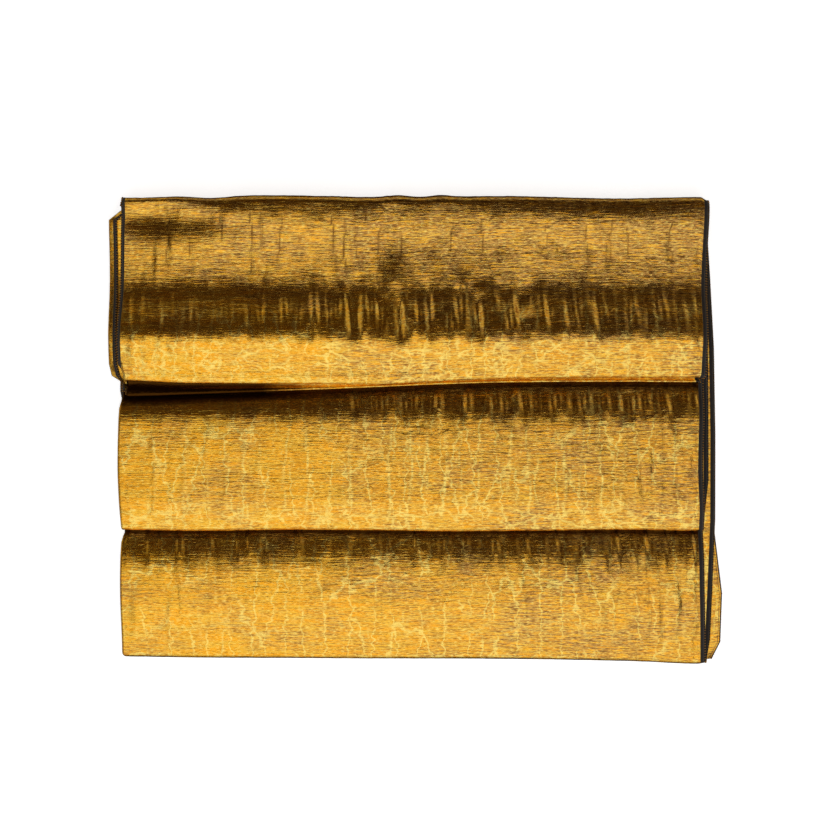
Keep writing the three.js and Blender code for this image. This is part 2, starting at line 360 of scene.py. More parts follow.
def row_on(layer, y, place, fine, loose=0.0):
    """One row of the sheet, lying on a layer."""
    y = np.broadcast_to(np.asarray(y, dtype=float), place["x"].shape)
    return {
        "layer": layer,
        "y": y.copy(),
        "z": height_of(layer, y, place),
        "aside": along(LAYERS[layer]["aside"], y),
        "fine": fine,
        "loose": loose,
    }


def covered_run(layer, y0, y1, steps, place):
    """Rows on one layer, out of sight, from y0 up to but not including y1."""
    rows = []
    for i in range(steps):
        share = (1 - math.cos(math.pi * i / steps)) / 2
        rows.append(row_on(layer, y0 + (y1 - y0) * share, place, False))
    return rows


def band_run(layer, y0, y1, steps, place, end_loose, crowd=EVEN_ROWS):
    """Rows on the open part of a band, loosest halfway."""
    rows = []
    for i in range(steps):
        share = float(np.interp(i / steps, *zip(*crowd)))
        loose = end_loose + (1.0 - end_loose) * math.sin(math.pi * share) ** 0.5
        rows.append(row_on(layer, y0 + (y1 - y0) * share, place, True, loose))
    return rows


def fold_root(upper, lower, tip, way, place):
    """Where a layer meets the round of a fold that reaches as far as the tip."""
    root = tip
    for _ in range(3):
        tall = height_of(upper, root, place) - height_of(lower, root, place)
        root = tip + way * tall / 2
    return root


def fold(start, end, root, tip, steps, place, fine):
    """The round of a fold, from one layer to the other. Fine ones are in sight."""
    a = row_on(start, root, place, fine)
    b = row_on(end, root, place, fine)
    rows = []
    for i in range(steps):
        turn = math.pi * i / steps
        share = (1 - math.cos(turn)) / 2
        rows.append({
            "layer": start if share < 0.5 else end,
            "y": root + (tip - root) * math.sin(turn),
            "z": a["z"] + (b["z"] - a["z"]) * share,
            "aside": a["aside"] + (b["aside"] - a["aside"]) * share,
            "fine": fine,
            "loose": LOOSE["folds"] * (1 - share) if fine else 0.0,
        })
    return rows


def lipped_fold(place):
    """The top band's front: a soft upper edge, a shelf, and a lip that lies further forward."""
    front, lip = place["top_front"], place["lip"]
    start = row_on("top_top", front + SHELF["root"], place, True)
    end = row_on("top_under", lip + SHELF["foot"], place, True)
    jut = front - lip
    # Distance to the back, and share of the way up, down the fold
    shelf = [
        (front + SHELF["root"], 1.0),
        (front + 0.008, 0.975),
        (front + 0.004, 0.93),
        (front + 0.001, 0.86),
        (front, 0.78),
        (front, 0.64),
        (front + 0.001, 0.48),
        (front - 0.02 * jut, 0.33),
        (front - 0.2 * jut, 0.29),
        (front - 0.5 * jut, 0.38),
        (lip + 0.16 * jut, 0.47),
        (lip + 0.04 * jut, 0.46),
        (lip, 0.37),
        (lip + 0.001, 0.24),
        (lip + 0.003, 0.11),
        (lip + 0.006, 0.03),
    ]
    rows = []
    for y, up in shelf:
        rows.append({
            "layer": "top_top",
            "y": y,
            "z": end["z"] + (start["z"] - end["z"]) * up,
            "aside": end["aside"] + (start["aside"] - end["aside"]) * up,
            "fine": True,
            "loose": LOOSE["shelf"] * up,
            # flags the lower part of the shelf for painted shade
            "shelf": 1.0 if up < SHELF["shaded_below"] else 0.0,
        })
    return rows


def flap(place):
    """The free end behind: up from its foot, then round the back edge."""
    root = place["back"] - FLAP_TURN
    top = row_on("top_top", root, place, True)
    shoulder = top["z"] - FLAP_TURN
    rows = []
    for i in range(STEPS["flap"]):
        share = i / STEPS["flap"]
        rows.append(dict(top, loose=LOOSE["flap"],
                         y=place["back"] - FLAP_LEAN * (1 - share),
                         z=FLAP_FOOT + (shoulder - FLAP_FOOT) * share))
    for i in range(STEPS["turn"]):
        turn = math.pi / 2 * i / STEPS["turn"]
        rows.append(dict(top, loose=LOOSE["flap_turn"],
                         y=root + FLAP_TURN * math.cos(turn),
                         z=shoulder + FLAP_TURN * math.sin(turn)))
    return rows


def cloth_rows(place):
    """The whole length of the cloth, from the end behind to the end under the front."""
    hidden, tucked, back_fold = STEPS["hidden"], STEPS["tucked"], STEPS["back_fold"]
    top_back = fold_root("top_under", "middle_top", BACK_FOLDS["top"], -1, place)
    middle_back = fold_root("middle_under", "bottom_top", BACK_FOLDS["middle"], -1, place)
    bottom_back = fold_root("bottom_under", "ground", BACK_FOLDS["bottom"], -1, place)
    middle = fold_root("middle_top", "middle_under", place["middle_front"], 1, place)
    bottom = fold_root("bottom_top", "bottom_under", place["bottom_front"], 1, place)
    under_top = OUT_OF_SIGHT["middle_top"]
    under_middle = OUT_OF_SIGHT["bottom_top"]
    steps = STEPS["fold"]
    free_end = place["bottom_front"] + FREE_END_BACK
    return [
        *flap(place),
        *band_run("top_top", place["back"] - FLAP_TURN, place["top_front"] + SHELF["root"],
                  STEPS["top"], place, LOOSE["top_ends"], TOP_ROWS),
        *lipped_fold(place),
        *covered_run("top_under", place["lip"] + SHELF["foot"], top_back,
                     STEPS["top_under"], place),
        *fold("top_under", "middle_top", top_back, BACK_FOLDS["top"], back_fold, place,
              False),
        *covered_run("middle_top", top_back, under_top, tucked, place),
        *band_run("middle_top", under_top, middle, STEPS["middle"], place,
                  LOOSE["band_ends"]),
        *fold("middle_top", "middle_under", middle, place["middle_front"], steps, place,
              True),
        *covered_run("middle_under", middle, middle_back, hidden, place),
        *fold("middle_under", "bottom_top", middle_back, BACK_FOLDS["middle"], back_fold,
              place, False),
        *covered_run("bottom_top", middle_back, under_middle, hidden, place),
        *band_run("bottom_top", under_middle, bottom, STEPS["bottom"], place,
                  LOOSE["band_ends"]),
        *fold("bottom_top", "bottom_under", bottom, place["bottom_front"], steps, place,
              True),
        *covered_run("bottom_under", bottom, bottom_back, hidden, place),
        *fold("bottom_under", "ground", bottom_back, BACK_FOLDS["bottom"], back_fold, place,
              False),
        *covered_run("ground", bottom_back, free_end, hidden, place),
        row_on("ground", free_end, place, False),
    ]


def columns_across():
    """Places across the flat cloth, and which of them are kept where it is out of sight."""
    edge = EDGE_COLUMNS * EDGE_STEP
    half = CLOTH_WIDTH / 2
    narrow = np.arange(EDGE_COLUMNS) * EDGE_STEP
    wide = np.linspace(-half + edge, half - edge, WIDE_COLUMNS + 1)
    x = np.concatenate([-half + narrow, wide, half - narrow[::-1]])
    last = len(x) - 1
    coarse = [*range(EDGE_COLUMNS),
              *range(EDGE_COLUMNS, EDGE_COLUMNS + WIDE_COLUMNS, COARSE_EVERY),
              *range(last - EDGE_COLUMNS, last + 1)]
    return x, coarse


def named_rows(columns, rows):
    """The rows of a table, each with the names of its columns."""
    return [dict(zip(columns, row)) for row in rows]


def smooth_step(value, low, high):
    """0 up to low and 1 from high on, with a soft step between."""
    s = np.clip((value - low) / (high - low), 0.0, 1.0)
    return s * s * (3 - 2 * s)


def within(y, front, back, ease):
    """1 between two distances, easing to 0 inside either end."""
    return smooth_step(y, front, front + ease) * smooth_step(-y, -back, -back + ease)


def turn_left_margins(points, x, layers):
    """Bends the left margin of some layers round a line along the cloth."""
    from_edge = x + CLOTH_WIDTH / 2
    inward = -facing(points)
    for margin in named_rows(MARGIN_COLUMNS, LEFT_MARGINS):
        beyond = np.maximum(margin["wide"] - from_edge, 0.0)
        drag = 1 - smooth_step(from_edge, margin["wide"], MARGIN_STRETCH)
        for i in np.flatnonzero(layers == margin["layer"]):
            y, ease = points[i, 0, 1], margin["ease"]
            share = within(y, margin["from_y"], margin["to_y"], ease)
            turned = within(y, margin["from_y"] - MARGIN_REACH,
                            margin["to_y"] + MARGIN_REACH, ease)
            if turned == 0:
                continue
            turn = math.radians(margin["degrees"]) * turned
            bent = np.minimum(beyond, margin["radius"] * turn)
            angle = bent / margin["radius"]
            rest = beyond - bent
            reach = margin["radius"] * np.sin(angle) + rest * np.cos(angle)
            lift = margin["radius"] * (1 - np.cos(angle)) + rest * np.sin(angle)
            points[i, :, 0] += beyond - reach - drag * share * margin["outward"]
            points[i] += inward[i] * lift[:, None]


def facing(points):
    """Which way the sheet's outer side faces at every point."""
    normal = np.cross(np.gradient(points, axis=0), np.gradient(points, axis=1))
    return normal / np.linalg.norm(normal, axis=2, keepdims=True)


def wander(x, y, layer):
    """How far a band's slope has shifted to the front, in pointed teeth."""
    teeth = np.zeros(np.shape(x))
    for k, wide in enumerate(TOOTH_WIDTHS):
        lean = TOOTH_LEAN["size"] * math.sin(TOOTH_LEAN["turn"] * k) * y
        turn = math.pi * (x + lean) / wide + TOOTH_SHIFT["each"] * k + TOOTH_SHIFT["down"] * y
        teeth = teeth + np.abs(np.sin(turn)) - TOOTH_MIDDLE
    return along(TEETH[layer], x) * teeth / 2


def band_points(layer, points, layers, loose):
    """The rows of a layer that lie loose somewhere, and where their points are."""
    rows = np.flatnonzero((layers == layer) & (loose.max(axis=1) > 0))
    return rows, points[rows, :, 0], points[rows, :, 1]


def relief(points, layers, loose):
    """Rise of the teeth, hollows and creases, and the light and shade painted along creases."""
    rise = np.zeros(points.shape[:2])
    painted_light_and_shade = np.zeros(points.shape[:2])
    for layer in TEETH:
        rows, x, y = band_points(layer, points, layers, loose)
        above = LAYERS[layer]["above"]
        shifted = along(above, y + wander(x, y, layer)) - along(above, y)
        window = smooth_step(y, TEETH_STOP[layer], TEETH_STOP[layer] + TEETH_EASE)
        rise[rows] += shifted * window * np.minimum(1.0, TEETH_BY_LOOSE * loose[rows])
    rows, x, y = band_points("top_top", points, layers, loose)
    for hollow in named_rows(HOLLOW_COLUMNS, HOLLOWS):
        away = ((x - hollow["x"]) / hollow["reach_x"]) ** 2
        away += ((y - hollow["y"]) / hollow["reach_y"]) ** 2
        rise[rows] += hollow["rise"] * np.exp(-HOLLOW_FADE * away)
    for layer, creases in CREASES.items():
        rows, x, y = band_points(layer, points, layers, loose)
        depth = np.minimum(1.0, CREASES_BY_LOOSE * loose[rows])
        for crease in named_rows(CREASE_COLUMNS, creases):
            share = (crease["back_y"] - y) / (crease["back_y"] - crease["front_y"])
            middle = crease["x"] + crease["lean"] * (share - 0.5)
            sway = np.sin(CREASE_SWAY["down"] * y + CREASE_SWAY["across"] * crease["x"])
            middle = middle + CREASE_STEP * np.round(CREASE_SWAY["size"] * sway)
            window = within(y, crease["front_y"], crease["back_y"], CREASE_EASE) * depth
            away = np.abs(x - middle)
            rise[rows] += crease["rise"] * window * np.exp(-(away / CREASE_HALF_WIDTH) ** 2)
            # painted shade along the creases listed below 0, painted highlight along those
            # above 0
            painted_light_and_shade[rows] += crease["painted_light_and_shade"] * window * np.maximum(0.0, 1 - away / CREASE_STEP)
    return rise, painted_light_and_shade


def crevice_shade(points, layers, place, shelf):
    """Painted shade that darkens each band along the crevice of the band above, and the shelf.
    """
    y = points[:, :, 1]
    shade = np.zeros(y.shape)
    for crevice in named_rows(CREVICE_COLUMNS, CREVICES):
        rows, fold_at = layers == crevice["layer"], place[crevice["fold"]]
        shade[rows] = smooth_step(y[rows], fold_at - crevice["deep"], fold_at - CREVICE_EDGE)
    wide = smooth_step(place["top_front"] - place["lip"], *SHADED_JUT)
    return DEEPEST_PAINTED_SHADE * np.maximum(shade, shelf[:, None] * wide)


def sheet_points():
    """The middle of the sheet, row by row, with what its points carry."""
    x, coarse = columns_across()
    place = places_across(x)
    rows = cloth_rows(place)
    layers = np.array([row["layer"] for row in rows])
    points = np.stack([x + np.array([row["aside"] for row in rows]),
                       np.array([row["y"] for row in rows]),
                       np.array([row["z"] for row in rows])], axis=2)
    steps = np.linalg.norm(np.diff(points[:, :, 1:], axis=0), axis=2).mean(axis=1)
    length = np.concatenate([[0.0], np.cumsum(steps)])
    loose = np.array([row["loose"] for row in rows])[:, None]
    loose = loose * smooth_step(CLOTH_WIDTH / 2 - np.abs(x), *SELVEDGE_CALM)
    rise, painted_light_and_shade = relief(points, layers, loose)
    # painted shade in the crevices and on the shelf
    painted_light_and_shade = painted_light_and_shade - crevice_shade(points, layers, place,
                                np.array([row.get("shelf", 0.0) for row in rows]))
    turn_left_margins(points, x, layers)
    points = points + facing(points) * rise[:, :, None]
    points -= np.array([*MIDDLE, 0.0])
    kept = [range(len(x)) if row["fine"] else coarse for row in rows]
    black = np.where(x < 0, SELVEDGES["left"], SELVEDGES["right"]) + np.zeros(painted_light_and_shade.shape)
    black[np.ix_(layers == "ground", x > 0)] = GROUND_SELVEDGE
    carried = {
        "across": np.broadcast_to(x, painted_light_and_shade.shape),
        "along": np.broadcast_to(length[:, None], painted_light_and_shade.shape),
        "loose": loose,
        "painted_light_and_shade": painted_light_and_shade,
        "black": black,
    }
    return points, facing(points), carried, kept, coarse, float(length[-1])


def cloth_sheet(points, outward, carried, kept, coarse):
    """The closed sheet as a mesh, with its place in the flat cloth kept on its points."""
    verts, ids, order = [], {}, []
    for side, sign in (("outer", 1.0), ("inner", -1.0)):
        skin = points + sign * outward * THICKNESS / 2
        for i, columns in enumerate(kept):
            for j in columns:
                ids[side, i, j] = len(verts)
                verts.append(skin[i, j])
                order.append((i, j))

    faces, smooth = [], []
    last = len(kept) - 1

    def add(ring, turned, is_smooth):
        faces.append(ring[::-1] if turned else ring)
        smooth.append(is_smooth)

    full = [len(columns) > len(coarse) for columns in kept]
    for i in range(last):
        for left, right in zip(coarse[:-1], coarse[1:]):
            parts = [(left, right)]
            if full[i] and full[i + 1]:
                parts = list(zip(range(left, right), range(left + 1, right + 1)))
            for a, b in parts:
                back = range(a, b + 1) if full[i] else (a, b)
                front = range(a, b + 1) if full[i + 1] else (a, b)
                for side in ("outer", "inner"):
                    ring = [ids[side, i, j] for j in back][::-1]
                    ring += [ids[side, i + 1, j] for j in front]
                    add(ring, side == "inner", True)
    for i, turned in ((0, False), (last, True)):
        for j, k in zip(kept[i][:-1], kept[i][1:]):
            add([ids["outer", i, j], ids["outer", i, k], ids["inner", i, k],
                 ids["inner", i, j]], turned, False)
    for j, turned in ((0, False), (coarse[-1], True)):
        for i in range(last):
            add([ids["outer", i, j], ids["inner", i, j], ids["inner", i + 1, j],
                 ids["outer", i + 1, j]], turned, False)

    mesh = bpy.data.meshes.new("folded_cloth_sheet")
    mesh.from_pydata(verts, [], faces)
    mesh.polygons.foreach_set("use_smooth", smooth)
    at = tuple(np.array(order).T)
    for name, values in carried.items():
        layer = mesh.attributes.new(name, "FLOAT", "POINT")
        layer.data.foreach_set("value", values[at].astype(np.float32))
    layer = mesh.attributes.new("outward", "FLOAT_VECTOR", "POINT")
    layer.data.foreach_set("vector", outward[at].astype(np.float32).ravel())
    flat = mesh.uv_layers.new(name="Flat cloth")
    place_of = np.column_stack([carried["across"][at], carried["along"][at]])
    corner = np.empty(len(mesh.loops), dtype=np.int32)
    mesh.loops.foreach_get("vertex_index", corner)
    flat.data.foreach_set("uv", place_of[corner].astype(np.float32).ravel())
    mesh.update()
    return mesh


# Node trees


class Tree:
    """A node tree, with short calls for what the trees below repeat."""

    def __init__(self, tree):
        self.tree = tree

    def put(self, socket, value):
        """Links a socket, or gives it a plain value. None leaves it as it is."""
        if isinstance(value, bpy.types.NodeSocket):
            self.tree.links.new(value, socket)
        elif value is not None:
            socket.default_value = value

    def node(self, kind, *given, named=None, **settings):
        """A node with its first inputs given in order, and others by their names."""
        node = self.tree.nodes.new(kind)
        for key, value in settings.items():
            setattr(node, key, value)
        for socket, value in zip(node.inputs, given):
            self.put(socket, value)
        for name, value in (named or {}).items():
            self.put(node.inputs[name], value)
        return node

    def maths(self, operation, a, b=None, c=None, clamp=False):
        return self.node("ShaderNodeMath", a, b, c, operation=operation,
                         use_clamp=clamp).outputs[0]

    def noise(self, place, detail=2.0, distortion=0.0, output=0):
        named = {"Scale": 1.0, "Detail": detail, "Distortion": distortion}
        return self.node("ShaderNodeTexNoise", place, named=named).outputs[output]


class Shaper(Tree):
    """A geometry tree that takes a shape, a few numbers and a finish."""

    def __init__(self, name, numbers):
        super().__init__(bpy.data.node_groups.new(name, "GeometryNodeTree"))
        new_socket = self.tree.interface.new_socket
        new_socket("Shape", in_out="INPUT", socket_type="NodeSocketGeometry")
        for label, value in numbers.items():
            socket = new_socket(label, in_out="INPUT", socket_type="NodeSocketFloat")
            socket.default_value = value
        new_socket("Finish", in_out="INPUT", socket_type="NodeSocketMaterial")
        new_socket("Shape", in_out="OUTPUT", socket_type="NodeSocketGeometry")
        self.inputs = self.node("NodeGroupInput").outputs

    def carried(self, name, kind="FLOAT"):
        return self.node("GeometryNodeInputNamedAttribute", name,
                         data_type=kind).outputs["Attribute"]

    def path(self):
        return self.node("GeometryNodeMeshToCurve", self.inputs["Shape"]).outputs[0]

    def circle(self, sides, radius):
        return self.node("GeometryNodeCurvePrimitiveCircle", sides,
                         named={"Radius": self.inputs[radius]}).outputs[0]

    def finish(self, shape):
        real = self.node("GeometryNodeRealizeInstances", shape).outputs[0]
        finished = self.node("GeometryNodeSetMaterial", real,
                             named={"Material": self.inputs["Finish"]})
        self.node("NodeGroupOutput", finished.outputs[0])
        return self.tree


PUCKER_WAVER = 0.5
CREST_SOFTNESS = 0.0015  # what is added to the square of a ridge, so that its crest is round
NOISE_TO_HEIGHT = 4.0  # the noise strays about a quarter from its middle


def pucker_tree():
    """Raises soft puckers across the folds where the cloth lies loose."""
    shaper = Shaper("Puckers across the folds", {
        "Pucker height": 0.0017, "Pucker width": 0.040, "Pucker run": 0.16,
        "Tooth height": 0.0009, "Tooth width": 0.020, "Tooth run": 0.036,
        "Seed": 3.0,
    })
    across, down = shaper.carried("across"), shaper.carried("along")

    def ridges(part, seed_step):
        place = shaper.node(
            "ShaderNodeCombineXYZ",
            shaper.maths("DIVIDE", across, shaper.inputs[part + " width"]),
            shaper.maths("DIVIDE", down, shaper.inputs[part + " run"]),
            shaper.maths("ADD", shaper.inputs["Seed"], seed_step),
        ).outputs[0]
        bulge = shaper.maths("SUBTRACT", shaper.noise(place, 1.0, PUCKER_WAVER), 0.5)
        square = shaper.maths("MULTIPLY", bulge, bulge)
        soft = shaper.maths("SQRT", shaper.maths("ADD", square, CREST_SOFTNESS))
        height = shaper.maths("MULTIPLY", shaper.inputs[part + " height"], NOISE_TO_HEIGHT)
        return shaper.maths("MULTIPLY", soft, height)

    rise = shaper.maths("ADD", ridges("Pucker", seed_step=0.0), ridges("Tooth", seed_step=7.0))
    rise = shaper.maths("MULTIPLY", rise, shaper.carried("loose"))
    push = shaper.node("ShaderNodeVectorMath", shaper.carried("outward", "FLOAT_VECTOR"),
                       named={"Scale": rise}, operation="SCALE")
    move = shaper.node("GeometryNodeSetPosition", shaper.inputs["Shape"],
                       named={"Offset": push.outputs[0]})
    return shaper.finish(move.outputs[0])


def cord_tree():
    """Sweeps a round cord along an edge of the cloth."""
    shaper = Shaper("Cord along the selvedge", {"Radius": CORD_RADIUS, "Sides": CORD_SIDES})
    cord = shaper.node("GeometryNodeCurveToMesh", shaper.path(),
                       shaper.circle(shaper.inputs["Sides"], "Radius"),
                       named={"Fill Caps": True})
    return shaper.finish(cord.outputs[0])


def weft_turn_tree():
    """Sets the turns of the gold weft round the outer cord, at an even pitch."""
    shaper = Shaper("Weft turns round the selvedge", {
        "Pitch": WEFT_TURN_PITCH, "Turn radius": WEFT_TURN_RADIUS, "Yarn radius": WEFT_RADIUS,
    })
    points = shaper.node("GeometryNodeCurveToPoints", shaper.path(), mode="LENGTH",
                         named={"Length": shaper.inputs["Pitch"]}).outputs
    turn = shaper.node("GeometryNodeCurveToMesh",
                       shaper.circle(WEFT_TURN_SIDES, "Turn radius"),
                       shaper.circle(WEFT_SIDES, "Yarn radius"))
    turns = shaper.node("GeometryNodeInstanceOnPoints", points["Points"],
                        named={"Instance": turn.outputs[0], "Rotation": points["Rotation"]})
    return shaper.finish(turns.outputs[0])


def apply_tree(obj, tree, values):
    """Runs a geometry tree on the object and keeps its result as the object's plain mesh."""
    modifier = obj.modifiers.new(tree.name, "NODES")
    modifier.node_group = tree
    for item in tree.interface.items_tree:
        if item.item_type == "SOCKET" and item.in_out == "INPUT" and item.name in values:
            modifier[item.identifier] = values[item.name]
    bpy.context.view_layer.update()
    seen = obj.evaluated_get(bpy.context.evaluated_depsgraph_get())
    mesh = bpy.data.meshes.new_from_object(seen)
    obj.modifiers.remove(modifier)
    obj.data = mesh
    return obj


# Materials


class Shader(Tree):
    """The nodes of a material or a world."""

    def __init__(self, owner):
        owner.use_nodes = True
        super().__init__(owner.node_tree)
        self.owner = owner
        self.surface = self.tree.nodes.get("Principled BSDF") or self.tree.nodes["Background"]

    def finish(self, looks):
        for name, value in looks.items():
            self.put(self.surface.inputs[name], value)
        return self.owner

    def part(self, vector, axis):
        return self.node("ShaderNodeSeparateXYZ", vector).outputs[axis]

    def carried(self, name, output="Fac"):
        """What the points of the sheet carry under a name."""
        return self.node("ShaderNodeAttribute", attribute_name=name).outputs[output]

    def place(self, output="Object"):
        return self.node("ShaderNodeTexCoord").outputs[output]

    def stretched(self, vector, scale, offset=None):
        return self.node("ShaderNodeMapping", vector, offset, None, scale).outputs[0]

    def cell_edges(self, vector, scale, wide):
        """Lines between cells, wavering like the veins of glints painted on the cloth."""
        waver = self.noise(self.stretched(vector, VEIN_WAVER), 3.0, output="Color")
        bent = self.node("ShaderNodeVectorMath", waver, VEIN_SWAY,
                         self.stretched(vector, scale), operation="MULTIPLY_ADD")
        cells = self.node("ShaderNodeTexVoronoi", bent.outputs[0], named={"Scale": 1.0},
                          voronoi_dimensions="2D", feature="DISTANCE_TO_EDGE")
        return self.between(cells.outputs["Distance"], wide, 0.0)

    def between(self, value, low, high, to_low=0.0, to_high=1.0):
        return self.node("ShaderNodeMapRange", value, low, high, to_low, to_high,
                         interpolation_type="SMOOTHSTEP").outputs["Result"]

    def mix(self, share, a, b):
        named = {"Factor": share, "A": a, "B": b}
        return self.node("ShaderNodeMix", named=named, data_type="RGBA").outputs["Result"]

    def bump(self, height, depth, normal=None):
        named = {"Strength": 1.0, "Distance": depth, "Height": height, "Normal": normal}
        return self.node("ShaderNodeBump", named=named).outputs["Normal"]


# Finishes, as linear colours
ORANGE_GOLD = (0.93, 0.415, 0.020, 1.0)
YELLOW_GOLD = (0.87, 0.470, 0.040, 1.0)
TAN_GOLD = (0.54, 0.280, 0.070, 1.0)
# dark warp between the wefts, and painted shade along the dark creases
DARK_WARP_AND_PAINTED_SHADE = (0.19, 0.080, 0.015, 1.0)
# painted shade, near black, for the crevices and the shelf
CREASE_SHADOW = (0.05, 0.018, 0.002, 1.0)
# bright threads of the weft, and painted glints along veins and creases
BRIGHT_THREADS_AND_PAINTED_GLINTS = (0.97, 0.76, 0.19, 1.0)
BLACK_YARN = (0.014, 0.009, 0.006, 1.0)
BROWN_YARN = (0.03, 0.025, 0.02, 1.0)
PALE_YARN = (0.42, 0.34, 0.24, 1.0)
FLOOR_GREY = (0.86, 0.86, 0.86, 1.0)
WHITE = (1.0, 1.0, 1.0, 1.0)
GOLD_ROUGHNESS = 0.27
WEFT_ROUGHNESS = 0.4
BLACK_ROUGHNESS = 0.7
FLOOR_ROUGHNESS = 0.9
FLOOR_GLOW = 0.75  # its own light, which keeps it white in the picture

# Patterns of the cloth, from noise: lumps to a metre across and along it, where in the noise
# each starts, and how fine and how distorted it is
PATTERN_COLUMNS = ("name", "lumps", "start", "detail", "distortion")
PATTERNS = [
    ("wefts", (34.0, 360.0, 1.0), (0.0, 0.0, 0.0), 3.0, 0.0),
    ("slubs", (12.0, 130.0, 1.0), (3.1, 0.0, 0.0), 2.0, 0.0),
    ("hair", (120.0, 620.0, 1.0), (0.0, 5.3, 0.0), 2.0, 0.0),
    ("cast", (7.0, 12.0, 1.0), (0.0, 0.0, 4.0), 3.0, 0.0),
    ("watered", (34.0, 28.0, 1.0), (8.0, 0.0, 0.0), 3.0, 0.7),
    ("lace", (75.0, 95.0, 1.0), (0.0, 0.0, 6.0), 3.0, 0.8),
    ("patches", (6.0, 13.0, 1.0), (0.0, 9.0, 2.0), 2.0, 0.0),
    ("some", (22.0, 30.0, 1.0), (5.0, 0.0, 1.0), 2.0, 0.0),
]
BUMPS = {"watered": 0.0018, "slubs": 0.0006, "wefts": 0.0004, "hair": 0.0003}
TWIST_BUMP = 0.0002
BLACK_LUMPS = (900.0, 900.0, 900.0)
WEFT_LUMPS = (700.0, 700.0, 700.0)

# Veins of painted glints: cells to a metre across and along, the lumps that their lines
# waver with, and how far
LONG_VEINS = {"scale": (27.0, 6.0, 1.0), "wide": 0.065}
NET_VEINS = {"scale": (26.0, 34.0, 1.0), "wide": 0.11}
VEIN_WAVER = (40.0, 55.0, 1.0)
VEIN_SWAY = (0.80, 0.60, 0.0)


def patterns_of(s, flat):
    """All patterns of the cloth, and the threads that wefts and hair make together."""
    found = {}
    for row in named_rows(PATTERN_COLUMNS, PATTERNS):
        place = s.stretched(flat, row["lumps"], row["start"])
        found[row["name"]] = s.noise(place, row["detail"], row["distortion"])
    found["threads"] = s.maths("ADD", s.maths("MULTIPLY", found["wefts"], 0.6),
                               s.maths("MULTIPLY", found["hair"], 0.4))
    return found


def weft_colours(s, across, down, pattern):
    """Orange gold to the left, tan gold to the right, in patches and behind, on dark warp."""
    tan_share = s.maths("ADD", s.maths("MULTIPLY", s.between(across, -0.4, 0.35), 0.52),
                        s.between(pattern["cast"], 0.42, 0.66, 0.0, 0.6))
    tan_share = s.maths("MULTIPLY_ADD", s.between(down, 0.26, 0.20), 0.55, tan_share)
    cloth = s.mix(s.between(pattern["slubs"], 0.38, 0.62), YELLOW_GOLD, ORANGE_GOLD)
    tanned = s.maths("MULTIPLY", tan_share, s.between(pattern["wefts"], 0.66, 0.42),
                     clamp=True)
    cloth = s.mix(tanned, cloth, TAN_GOLD)
    gaps = s.maths("MULTIPLY", s.between(pattern["threads"], 0.50, 0.40),
                   s.maths("MULTIPLY_ADD", tan_share, 0.45, 0.25), clamp=True)
    cloth = s.mix(gaps, cloth, DARK_WARP_AND_PAINTED_SHADE)
    cloth = s.mix(s.between(pattern["hair"], 0.54, 0.68, 0.0, 0.7), cloth, BRIGHT_THREADS_AND_PAINTED_GLINTS)
    return s.mix(s.between(pattern["hair"], 0.44, 0.32, 0.0, 0.4), cloth, DARK_WARP_AND_PAINTED_SHADE)


def painted_vein_glints(s, flat, down, pattern):
    """Painted glints: veins along the cloth, and a net where it turns to the lights in front.
    """
    # the net of painted glints shows only where the cloth faces the lights in front
    turned = s.between(s.part(s.carried("outward", "Vector"), "Y"), -0.02, -0.18)
    some = s.between(pattern["some"], 0.40, 0.56, 0.15, 1.0)
    net = s.maths("MAXIMUM", s.cell_edges(flat, **NET_VEINS),
                  s.between(pattern["lace"], 0.53, 0.66))
    net = s.maths("MULTIPLY", net, s.maths("MULTIPLY", turned, some))
    long_ones = s.maths("MULTIPLY", s.cell_edges(flat, **LONG_VEINS),
                        s.between(pattern["patches"], 0.34, 0.54))
    veins = s.maths("MULTIPLY", s.maths("MAXIMUM", long_ones, net),
                    s.between(down, 0.23, 0.29, 0.2, 1.0))
    thready = s.between(pattern["wefts"], 0.34, 0.52, 0.35, 1.0)
    return s.maths("MULTIPLY", s.maths("MULTIPLY", veins, thready), 0.75)


def creased(s, cloth, pattern):
    """The cloth with painted highlights and shade along its creases, and painted crevice shade.
    """
    painted_light_and_shade = s.carried("painted_light_and_shade")
    fray = s.between(pattern["hair"], 0.35, 0.6, 0.55, 1.0)
    # painted shade along the dark creases, broken up by the hair
    dark = s.maths("MULTIPLY", s.between(painted_light_and_shade, -0.1, -0.9), fray)
    # painted highlight along the bright creases
    light = s.maths("MULTIPLY", s.between(painted_light_and_shade, 0.05, 0.9),
                    s.between(pattern["threads"], 0.42, 0.54, 0.15, 0.9))
    cloth = s.mix(dark, s.mix(light, cloth, BRIGHT_THREADS_AND_PAINTED_GLINTS), DARK_WARP_AND_PAINTED_SHADE)
    # near-black painted shade in the crevices and on the shelf
    return s.mix(s.between(painted_light_and_shade, -0.9, -1.7), cloth, CREASE_SHADOW)


